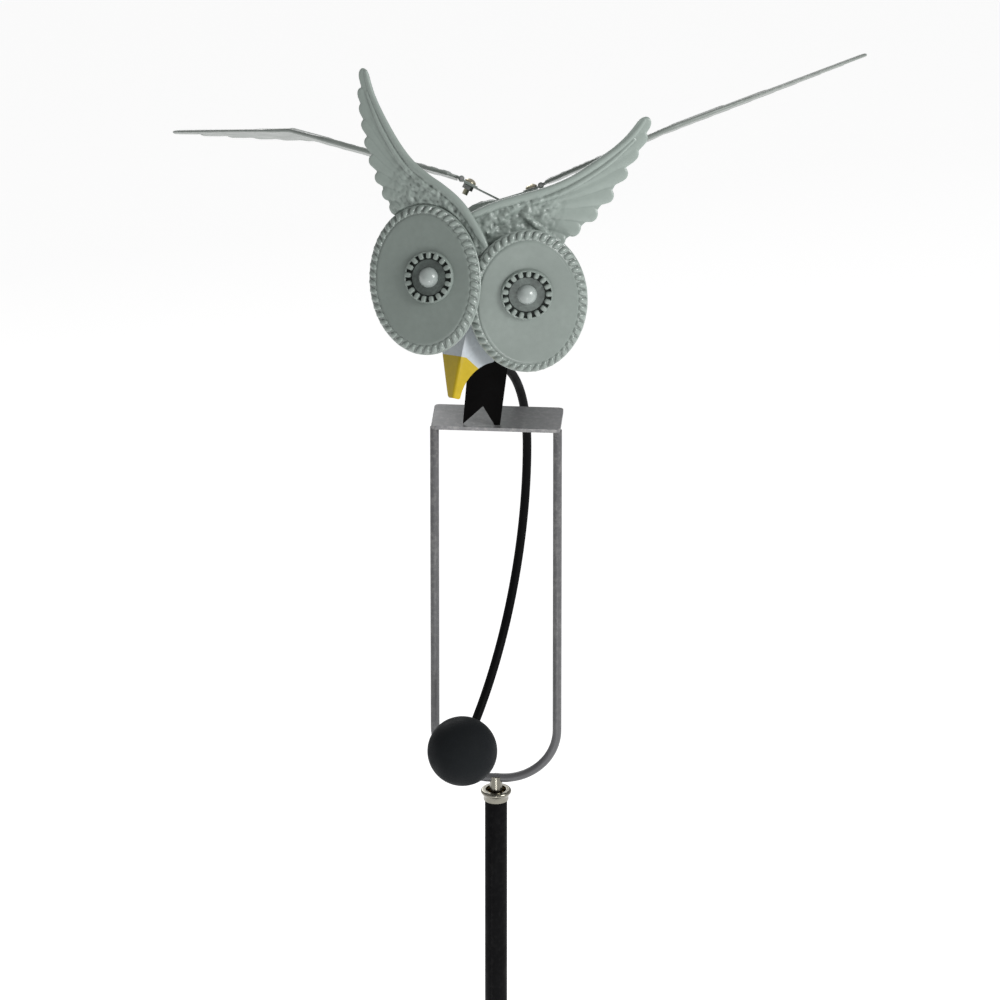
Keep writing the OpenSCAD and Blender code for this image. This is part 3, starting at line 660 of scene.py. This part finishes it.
def knuckle_mesh():
    """The wing's own knuckle, with the tab that joins it to the sheet."""
    bm = bmesh.new()
    y0, y1 = WING_KNUCKLE_Y
    lathe(bm, ((PIN_R + FIT, y0 + 0.2), (KNUCKLE_R - 0.25, y0), (KNUCKLE_R, y0 + 0.25),
               (KNUCKLE_R, y1 - 0.25), (KNUCKLE_R - 0.25, y1), (PIN_R + FIT, y1 - 0.2)),
          sides=32, axis="Y")
    soft_block(bm, (KNUCKLE_R + 1.0, (y0 + y1) / 2, 0.2), (3.2, y1 - y0 - 0.4, 1.9), 0.2)
    return to_mesh(bm, "knuckle")


for s in (LEFT, RIGHT):
    body = f"wing_{SIDES[s]}"
    add(f"feathered_wing_{SIDES[s]}", wing_mesh(s), WING[s], body, [enamel_wing],
        [body])
    add(f"wing_knuckle_{SIDES[s]}", knuckle_mesh(), WING[s], body, [hinge_grey])

# ------------------------------------------------------------------ tail and body


def tail_mesh():
    """A fan of tail feathers, each with a shorter one on top, on a flat strip."""
    bm = bmesh.new()
    each_side, spread = 4, 8
    for i in range(-each_side, each_side + 1):
        a = radians(90 + spread * i)
        length = TAIL_LEN - abs(i) * 5
        o = Vector((0, 22))
        out = Vector((cos(a), sin(a)))
        rise = 0.16 * (each_side - abs(i))
        feather(bm, bezier(o, o + out * length * 0.5, o + out * length), 22, 0.7 + rise, 0.1,
                crown=1.0, under=0.5, lift=0.2, root=0.45, blunt=0.86, steps=24)
        feather(bm, bezier(o, o + out * length * 0.25, o + out * length * 0.55), 15, 1.3 + rise,
                0.3, crown=0.9, under=0.0, lift=0.4, root=0.5, blunt=0.78)
    mesh = fused(bm, "tail", 0.7, 2)
    start = BODY_BACK - TAIL_Y + 1
    bm = cut_off(mesh, (0, start, 0), (0, 1, 0))
    soft_block(bm, (0, (start + 3) / 2, 0.65), (10, start + 3, 1.3), 0.25)
    bm.to_mesh(mesh)
    bm.free()
    return mesh


add("feathered_tail", tail_mesh(), BODY @ shift(0, TAIL_Y, TAIL_Z), "owl",
    [enamel], ["tail_fan"])


def scale_height(across, along, width, length=17.0, pitch=8.5):
    """Height of overlapping round scales, from 0 to 1, that point along."""
    best = 0.0
    first = math.floor((along - length) / pitch)
    for row in range(first, first + 4):
        b = (along - row * pitch) / length
        if not 0 <= b <= 1:
            continue
        offset = (across / width + 0.5 * (row % 2)) % 1 - 0.5
        a = 2 * offset
        limit = 1 if b < 0.45 else sqrt(max(0, 1 - ((b - 0.45) / 0.55) ** 2))
        if abs(a) <= limit:
            quill = 0.12 * exp(-(a / 0.18) ** 2)
            best = max(best, 0.2 + 0.8 * b - 0.3 * a * a + quill)
    return best


def body_radius(y):
    """The body's radius at a distance from its widest place, on a long arc."""
    arc = (BODY_BACK ** 2 + (BODY_R - TAIL_R) ** 2) / (2 * (BODY_R - TAIL_R))
    return BODY_R - arc + sqrt(arc ** 2 - y ** 2)


def shell_mesh(upper):
    """Half of the tapered body, covered in scales, with a bead round its front edge."""
    bm = bmesh.new()
    outer, inner = [], []
    turns, steps, columns = 96, 190, 16
    scale_h, bead_h = 1.1, 0.5
    # the smooth patch under the saddle: half its angle, and from where to where
    saddle_turn, saddle_from, saddle_to = 0.35, -14, 24
    for i in range(turns + 1):
        a = pi * i / turns + (0 if upper else pi)
        near_seam = min(i, turns - i) / turns
        rows = [[], []]
        for j in range(steps + 1):
            y = BODY_FRONT + (BODY_BACK - BODY_FRONT) * j / steps
            r = body_radius(y)
            fade = min(1, near_seam / 0.03) * min(1, j / 5) * min(1, (steps - j) / 5)
            if upper and abs(a - pi / 2) < saddle_turn and saddle_from < y < saddle_to:
                fade = 0.0
            width = 2 * pi * BODY_R / columns
            rise = scale_h * scale_height(a * BODY_R, y, width) * fade * min(1, r / 20)
            bead = bead_h * exp(-((y - BODY_FRONT - 1.5) / 1.2) ** 2)
            rows[0].append(((r + rise + bead) * cos(a), y, (r + rise + bead) * sin(a)))
            rows[1].append(((r - SHELL_T) * cos(a), y, (r - SHELL_T) * sin(a)))
        outer.append(rows[0])
        inner.append(rows[1])
    grid(bm, [o + i[::-1] for o, i in zip(outer, inner)])
    cap(bm, [bm.verts.new(p) for p in outer[0] + inner[0][::-1]])
    cap(bm, [bm.verts.new(p) for p in outer[-1] + inner[-1][::-1]])
    return to_mesh(bm, "shell", 0.0001)


add("scaled_back", shell_mesh(True), BODY, "owl", [enamel], ["back_shell"])
add("scaled_belly", shell_mesh(False), BODY, "owl", [enamel], ["belly_shell"])


def breast_mesh():
    """The round front of the body, covered in scales that point down."""
    bm = bmesh.new()
    size = BODY_R - SHELL_T - 0.6
    rings, sides = 46, 120
    dome_h, scale_h = 3.0, 1.3
    front = []
    for i in range(rings + 1):
        r = max(0.05, size * i / rings)
        row = []
        for j in range(sides):
            a = 2 * pi * j / sides
            x, z = r * cos(a), r * sin(a)
            dome = dome_h * (1 - (r / size) ** 2)
            rise = scale_h * min(1, (rings - i) / 4) * scale_height(x, -z, 11, 15, 7.5)
            row.append((x, BODY_FRONT - dome - rise, z))
        front.append(row)
    back = [[(x, BODY_FRONT + 1, z) for x, _, z in front[-1]]]
    rows = grid(bm, front + back)
    cap(bm, rows[0])
    cap(bm, rows[-1])
    return to_mesh(bm, "breast", 0)


add("scaled_breast", breast_mesh(), BODY, "owl", [enamel], ["breast_plate"])

# ------------------------------------------------------------------ eyes


def ellipse_by_length(a, b, count):
    """Points evenly spaced along an ellipse, each with its outward direction."""
    fine = 2000
    angle = [2 * pi * i / fine for i in range(fine + 1)]
    reach = [0.0]
    for i in range(fine):
        reach.append(reach[-1] + math.hypot(a * (cos(angle[i + 1]) - cos(angle[i])),
                                            b * (sin(angle[i + 1]) - sin(angle[i]))))
    points, k = [], 0
    for i in range(count):
        goal = reach[-1] * i / count
        while reach[k + 1] < goal:
            k += 1
        t = angle[k]
        out = Vector((cos(t) / a, sin(t) / b, 0)).normalized()
        points.append((Vector((a * cos(t), b * sin(t), 0)), out))
    return points


def rope_mesh():
    """A pressed rim that curves back from the disc: a smooth outer bead, with slanting
    fingers that reach in from it over the disc's edge."""
    bm = bmesh.new()
    lumps, per_lump, across, behind = 48, 14, 32, 6
    height, sheet, slant, margin = 1.7, 1.3, 0.7, 0.75
    # shares of the way across the rim: from its outer edge, 0, to its inner edge, 1
    finger_start, finger_end, finger_round, finger_half = 0.14, 0.83, 0.3, 0.38
    bead_at, bead_h = 0.15, 0.62
    groove_at, groove_half, groove_depth = 0.88, 0.12, 0.45
    width, rise = RIM_W - margin, RIM_RISE - 0.35
    path = ellipse_by_length(EYE_A - margin, EYE_B - margin, lumps * per_lump)
    rows = []
    for i, (at, out) in enumerate(path):
        row = [at - out * 0.9 + Vector((0, 0, -0.2))]
        for j in range(across + 1):
            v = j / across
            a = pi / 2 * v
            near = (i / per_lump - slant * v) % 1 - 0.5
            reach = finger_end + 0.03 * noise.noise(at * 0.3)
            round_end = max(0, (v - reach + finger_round) / finger_round)
            finger = sqrt(max(0, 1 - (near / finger_half) ** 2 - round_end ** 2))
            finger *= min(1, max(0, (v - finger_start) / 0.22))
            bead = bead_h * max(0, 1 - ((v - bead_at) / bead_at) ** 2)
            wobble = 1 + 0.12 * noise.noise(at * 0.2 + Vector((0, 0, v)))
            lift = height * wobble * max(finger, bead)
            groove = groove_depth * max(0, 1 - ((v - groove_at) / groove_half) ** 2)
            inset, up = width * (1 - cos(a)), rise * sin(a) - groove
            row.append(at - out * (inset - lift * cos(a)) + Vector((0, 0, up + lift * sin(a))))
        row.append(at - out * RIM_W + Vector((0, 0, rise - 0.2)))
        row.append(at - out * RIM_W + Vector((0, 0, rise - sheet)))
        for j in range(1, behind + 1):
            a = pi / 2 * (1 - j / behind)
            inset = sheet + (width - sheet) * (1 - cos(a))
            row.append(at - out * inset + Vector((0, 0, (rise - sheet) * sin(a) - 0.1)))
        rows.append(row)
    grid(bm, rows, closed=True)
    return to_mesh(bm, "rope", 0)


def disc_mesh(side):
    """The thin oval plate inside the rope, a little dished and uneven, with its edge tucked
    under the rope."""
    bm = bmesh.new()
    under, tuck_from, tuck_depth = 2.7, 0.955, 1.3
    a, b = EYE_A - RIM_W + under, EYE_B - RIM_W + under
    rings, sides = 40, 144
    front = []
    for i in range(rings + 1):
        k = max(0.004, i / rings)
        row = []
        for j in range(sides):
            t = 2 * pi * j / sides
            p = Vector((a * k * cos(t), b * k * sin(t), 0))
            dent = 0.22 * noise.noise(p * 0.05 + Vector((7 * side, 0, 3)))
            tuck = tuck_depth * max(0, (k - tuck_from) / 0.045) ** 2
            row.append((p[0], p[1], RIM_RISE - 0.3 - 0.3 * (1 - k * k) + dent - tuck))
        front.append(row)
    back = [[(x, y, z - DISC_T) for x, y, z in row] for row in reversed(front)]
    rows = grid(bm, front + back)
    cap(bm, rows[0])
    cap(bm, rows[-1])
    return to_mesh(bm, "disc", 0)


def ring_mesh():
    """The toothed cup: a floor darkened as painted shade, a low outer wall, rounded teeth that
    point inwards, and a near-black band under the teeth as painted shadow in their gaps.
    """
    bm = bmesh.new()
    base = DISC_T - 0.6
    # painted shade: the floor, in the darker recess material
    lathe(bm, ((2.6, base), (2.6, DISC_T + 0.6), (RING_R - 1, DISC_T + 0.6), (RING_R - 1, base)),
          material=1)
    top = DISC_T + RING_WALL_H
    lathe(bm, ((RING_R - 1.3, base), (RING_R - 1.3, top - 0.5), (RING_R - 0.95, top - 0.1),
               (RING_R - 0.5, top - 0.15), (RING_R - 0.1, top - 0.8), (RING_R, base)), 96)
    # painted shadow: a near-black band under the teeth, seen in the gaps between them
    lathe(bm, ((TOOTH_IN_R - 0.5, base), (TOOTH_IN_R - 0.5, DISC_T + 0.75),
               (RING_R - 1.2, DISC_T + 0.75), (RING_R - 1.2, base)), material=2)
    half = Vector(((RING_R - TOOTH_IN_R - 0.3) / 2, TOOTH_W / 2 + 0.35, TOOTH_H / 2 + 0.5))
    for i in range(RING_TEETH):
        place = Matrix.Rotation(2 * pi * i / RING_TEETH, 4, "Z") @ shift(
            TOOTH_IN_R + half.x, 0, DISC_T + TOOTH_H - half.z)
        tooth = bmesh.ops.create_uvsphere(bm, u_segments=20, v_segments=12, radius=1)
        for v in tooth["verts"]:
            boxy = [math.copysign(abs(c) ** 0.62, c) * h for c, h in zip(v.co, half)]
            v.co = place @ Vector(boxy)
    return to_mesh(bm, "ring", 0)


def dome_mesh():
    """A domed rivet head on its shank."""
    bm = bmesh.new()
    profile = [(0.01, DISC_T + DOME_R)]
    for i in range(1, 17):
        a = pi / 2 * (1 - i / 16) + 0.06
        profile.append((DOME_R * cos(a), DISC_T + DOME_R * sin(a)))
    profile += [(DOME_R - 0.5, DISC_T - 0.2), (2.5, DISC_T - 0.2), (2.5, 0.4 - SHANK_LEN),
                (2.1, -SHANK_LEN), (0.01, -SHANK_LEN)]
    lathe(bm, profile)
    return to_mesh(bm, "dome", 0.02)


for s in (LEFT, RIGHT):
    name = SIDES[s]
    add(f"dished_disc_{name}", disc_mesh(s), EYE[s], "owl", [enamel_flat],
        [f"eye_disc_{name}"])
    add(f"twisted_rope_{name}", rope_mesh(), EYE[s], "owl", [enamel_rim_lit],
        [f"rope_rim_{name}"], sharp=60)
    add(f"toothed_ring_{name}", ring_mesh(), RING[s], "owl",
        [enamel, eye_ring_floor_shade, slot_dark], [f"eye_ring_{name}"])
    add(f"eye_dome_{name}", dome_mesh(), RING[s], "owl", [enamel_light],
        ["eye_rivets"])

# ------------------------------------------------------------------ beak


def beak_half(sign, z):
    """Width of one side of the beak at a height: a straight edge on the left, hollow on the
    right, with rounded corners at the tip."""
    rise = z + BEAK_LEN
    round_r = 1.2
    corner = 0
    if rise < round_r:
        corner = round_r - sqrt(max(0, round_r ** 2 - (round_r - rise) ** 2))
    if sign < 0:
        return min(BEAK_HALF, BEAK_TIP + rise * tan(radians(BEAK_LEFT))) - corner
    if rise > BEAK_ARC_R:
        return BEAK_HALF
    return min(BEAK_HALF, BEAK_TIP + BEAK_ARC_R - sqrt(BEAK_ARC_R ** 2 - rise ** 2)) - corner


def beak_mesh():
    """A folded sheet, painted yellow below a line on each side."""
    bm = bmesh.new()
    rows, columns, thick = 70, 26, 1.0
    fold = radians(BEAK_FOLD)
    fold_r = 1.6

    def bent(s):
        """Point and outward direction at a distance s from the ridge, round a soft fold."""
        sign = 1 if s >= 0 else -1
        arc = min(abs(s), fold_r * fold)
        a = arc / fold_r
        x, y = fold_r * sin(a), fold_r * (1 - cos(a))
        rest = abs(s) - arc
        return Vector((sign * (x + rest * cos(a)), y + rest * sin(a))), Vector(
            (sign * sin(a), -cos(a)))

    front, back = [], []
    for i in range(rows + 1):
        z = BEAK_TOP - (BEAK_TOP + BEAK_LEN) * i / rows
        line = [[], []]
        for j in range(columns + 1):
            s = (2 * j / columns - 1)
            s *= beak_half(s, z)
            p, out = bent(s)
            tuck = 1.2 * max(0, (-z - 30) / 17) ** 2
            line[0].append((p[0], p[1] + tuck, z))
            line[1].append((p[0] - out[0] * thick, p[1] + tuck - out[1] * thick, z))
        front.append(line[0])
        back.append(line[1])
    rings = grid(bm, [f + b[::-1] for f, b in zip(front, back)])
    cap(bm, rings[0])
    cap(bm, rings[-1][::-1])
    # cut along the paint's two edges, which are level on the left and slope down to the
    # right, then colour what is below both
    edges = ((Vector((0, 0, BEAK_PAINT_Z)), Vector((0, 0, 1))),
             (Vector((3.3, 0, BEAK_PAINT_Z)), Vector((0.66, 0, 1)).normalized()))
    for at, normal in edges:
        geom = bm.faces[:] + bm.edges[:] + bm.verts[:]
        bmesh.ops.bisect_plane(bm, geom=geom, plane_co=at, plane_no=normal)
    for f in bm.faces:
        c = f.calc_center_median()
        f.material_index = int(all((c - at).dot(normal) < 0 for at, normal in edges))
    return to_mesh(bm, "beak", 0.001)


add("folded_beak", beak_mesh(), BEAK, "owl", [beak_grey, beak_yellow], ["beak"],
    sharp=50)

# ------------------------------------------------------------------ CAD pieces that stay


def finish_node(node, mat, bevel):
    """A CAD piece keeps its shape and gets its material, with its sharp edges eased."""
    obj = NODES[node]
    obj.data.materials.clear()
    obj.data.materials.append(mat)
    weld = obj.modifiers.new("weld", "WELD")
    weld.merge_threshold = 1e-6
    ease = obj.modifiers.new("ease", "BEVEL")
    ease.width = bevel * MM
    ease.segments = 2
    ease.limit_method = "ANGLE"
    ease.angle_limit = radians(40)


# the material, how far the edges are eased, and the pieces
KEPT = (
    (stake, 0.4, ("ground_spike", "side_prongs", "foot_bar")),
    (black, 0.3, ("lower_pole", "upper_pole", "pendulum_rod", "leg_rivets")),
    (soft_black, 0.25, ("leg_bracket",)),
    (zinc, 0.3, ("pole_coupler", "coupler_screws", "thrust_ball", "tail_screws", "neck_bolt",
                 "neck_spacer", "hinge_pins", "hinge_nuts", "face_bracket")),
    (nickel, 0.25, ("pole_ferrule", "swivel_pin")),
    (brass, 0.2, ("swivel_bush",)),
    (plate_grey_lit, 0.5, ("perch_plate",)),
    (yoke_grey, 0.5, ("yoke",)),
    (enamel, 0.2, ("wing_saddle",)),
    (hinge_grey, 0.15, ("hinge_leaf_left", "hinge_leaf_right")),
    (yellow_zinc, 0.2, ("hinge_screws", "hinge_washers")),
)
for mat, bevel, names in KEPT:
    for node in names:
        finish_node(node, mat, bevel)


def ball_mesh(r):
    bm = bmesh.new()
    bmesh.ops.create_icosphere(bm, subdivisions=5, radius=r)
    return to_mesh(bm, "ball", 0)


low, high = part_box("counterweight_ball")
middle = (low + high) / 2 / MM
add("round_ball", ball_mesh((high.x - low.x) / 2 / MM), shift(*middle), "owl",
    [ball_black], ["counterweight_ball"])

# ------------------------------------------------------------------ stage

FLOOR_SIZE = 60      # metres
FLOOR_GLOW, SKY_LIGHT = 0.58, 0.4
floor_mesh = bpy.data.meshes.new("floor")
edge = FLOOR_SIZE / 2
floor_mesh.from_pydata([(-edge, -edge, 0), (edge, -edge, 0), (edge, edge, 0), (-edge, edge, 0)],
                       [], [(0, 1, 2, 3)])
floor = bpy.data.objects.new("floor", floor_mesh)
floor.location.z = cad_box[0].z - 0.0005
bpy.context.scene.collection.objects.link(floor)
pale = bpy.data.materials.new("pale_floor")
pale.use_nodes = True
pale_shader = pale.node_tree.nodes["Principled BSDF"]
pale_shader.inputs["Base Color"].default_value = (0.85, 0.85, 0.85, 1)
pale_shader.inputs["Roughness"].default_value = 0.9
pale_shader.inputs["Emission Color"].default_value = (1, 1, 1, 1)
pale_shader.inputs["Emission Strength"].default_value = FLOOR_GLOW
floor_mesh.materials.append(pale)

world = bpy.data.worlds.new("studio")
bpy.context.scene.world = world
world.use_nodes = True
sky = world.node_tree.nodes["Background"]
sky.inputs["Color"].default_value = (1, 1, 1, 1)
sky.inputs["Strength"].default_value = SKY_LIGHT

# the view: from a little to the right of the front and from above, in metres and far away
AZIMUTH, ELEVATION = radians(4), radians(25)
VIEW_OUT = Vector((sin(AZIMUTH) * cos(ELEVATION), -cos(AZIMUTH) * cos(ELEVATION), sin(ELEVATION)))
VIEW_RIGHT = Vector((cos(AZIMUTH), sin(AZIMUTH), 0))
VIEW_UP = VIEW_OUT.cross(VIEW_RIGHT)
VIEW_WIDTH = 0.71
DISTANCE = 10.0
SENSOR = 36
AIM_RIGHT, AIM_DOWN = 0.00284, 0.05325      # from the perch to the middle of the picture
PERCH_POINT = Vector((0, 0, PERCH_Z * MM))
TARGET = PERCH_POINT + VIEW_RIGHT * AIM_RIGHT - VIEW_UP * AIM_DOWN


def aim(obj, out, right, up, at):
    """Puts a camera or a light at a point, with its back along out."""
    m = Matrix((right, up, out)).transposed().to_4x4()
    m.translation = at
    obj.matrix_world = m


camera_data = bpy.data.cameras.new("camera")
camera_data.sensor_width = SENSOR
camera_data.lens = SENSOR * DISTANCE / VIEW_WIDTH
camera_data.clip_end = 300
camera = bpy.data.objects.new("camera", camera_data)
bpy.context.scene.collection.objects.link(camera)
aim(camera, VIEW_OUT, VIEW_RIGHT, VIEW_UP, TARGET + VIEW_OUT * DISTANCE)
bpy.context.scene.camera = camera


def area_light(name, right, up, out, size, power):
    """A soft panel that faces the owl, placed as the camera sees it, in metres."""
    data = bpy.data.lights.new(name, "AREA")
    data.shape = "DISK"
    data.size = size
    data.energy = power
    obj = bpy.data.objects.new(name, data)
    bpy.context.scene.collection.objects.link(obj)
    at = VIEW_RIGHT * right + VIEW_UP * up + VIEW_OUT * out
    z = at.normalized()
    x = Vector((0, 0, 1)).cross(z).normalized()
    aim(obj, z, x, z.cross(x), PERCH_POINT + at)


area_light("key", right=1.65, up=0.5, out=1.35, size=1.0, power=32)
area_light("low_front", right=0.1, up=-1.5, out=1.5, size=0.25, power=5)
area_light("back", right=-0.6, up=1.5, out=-1.4, size=1.2, power=14)
bpy.context.scene.view_settings.view_transform = "Standard"
